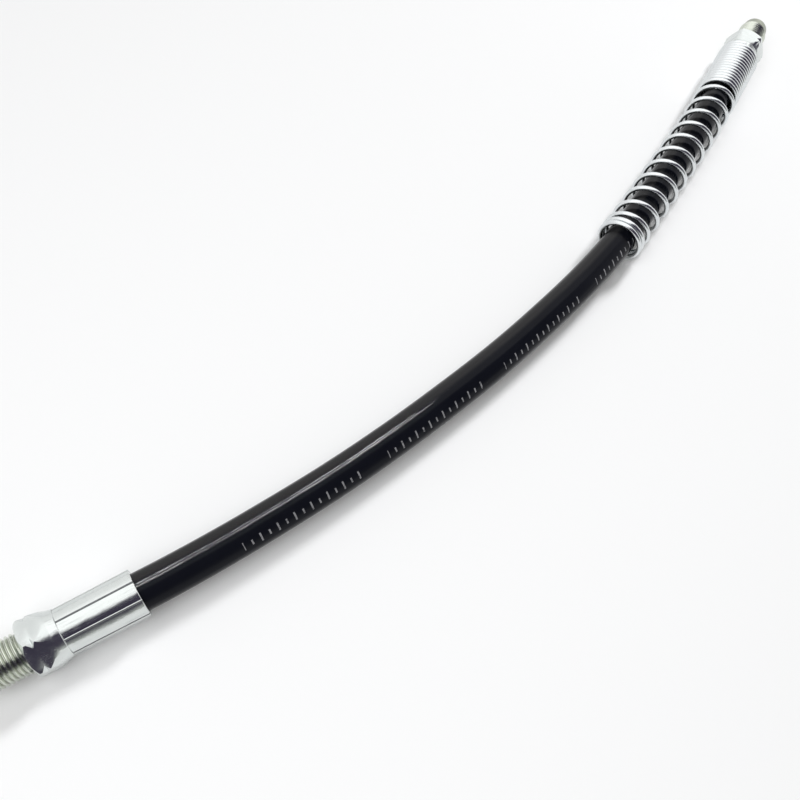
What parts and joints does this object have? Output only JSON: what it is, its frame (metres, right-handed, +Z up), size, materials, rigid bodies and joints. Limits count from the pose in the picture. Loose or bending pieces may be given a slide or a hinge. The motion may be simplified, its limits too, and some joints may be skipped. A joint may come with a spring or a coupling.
{
  "type": "hydraulic hose assembly",
  "caption": "Black rubber hydraulic hose, gently curved, with a crimped male-threaded hexagon fitting at each end and a wire coil guard over one end.",
  "frame": {"origin": "middle of the footprint at floor level, under the curve between the two fittings", "axes": "+X from the near fitting to the far one, the long way of the assembly; +Z up from the floor, the hose axis level; +Y to the inside of the hose's curve"},
  "size_m": [0.3229, 0.0381, 0.0147],
  "materials": {
    "nipple_steel": "bright zinc plate, polished",
    "ferrule_steel": "bright zinc plate, pressed smooth",
    "liner_rubber": "smooth",
    "braid_yarn": "braided yarn",
    "cover_rubber": "satin black with pale lay-line ticks",
    "guard_wire": "bright zinc-plated spring wire"
  },
  "bodies": {
    "near_end": {"near_nipple": "nipple_steel", "near_ferrule": "ferrule_steel", "hose_liner": "liner_rubber", "hose_braid_inner": "braid_yarn", "hose_braid_outer": "braid_yarn", "hose_cover": "cover_rubber"},
    "far_end": {"far_nipple": "nipple_steel", "far_ferrule": "ferrule_steel", "coil_guard": "guard_wire"}
  },
  "joints": [
    {"name": "hose_bend", "type": "hinge", "parent": "near_end", "child": "far_end", "pos_m": [-0.0423, -0.0107, 0.00733], "axis": [0, 0, 1], "range_deg": [-45, 60], "stiffness_Nm_per_rad": 0.15, "deforming": ["hose_liner", "hose_braid_inner", "hose_braid_outer", "hose_cover"]}
  ]
}
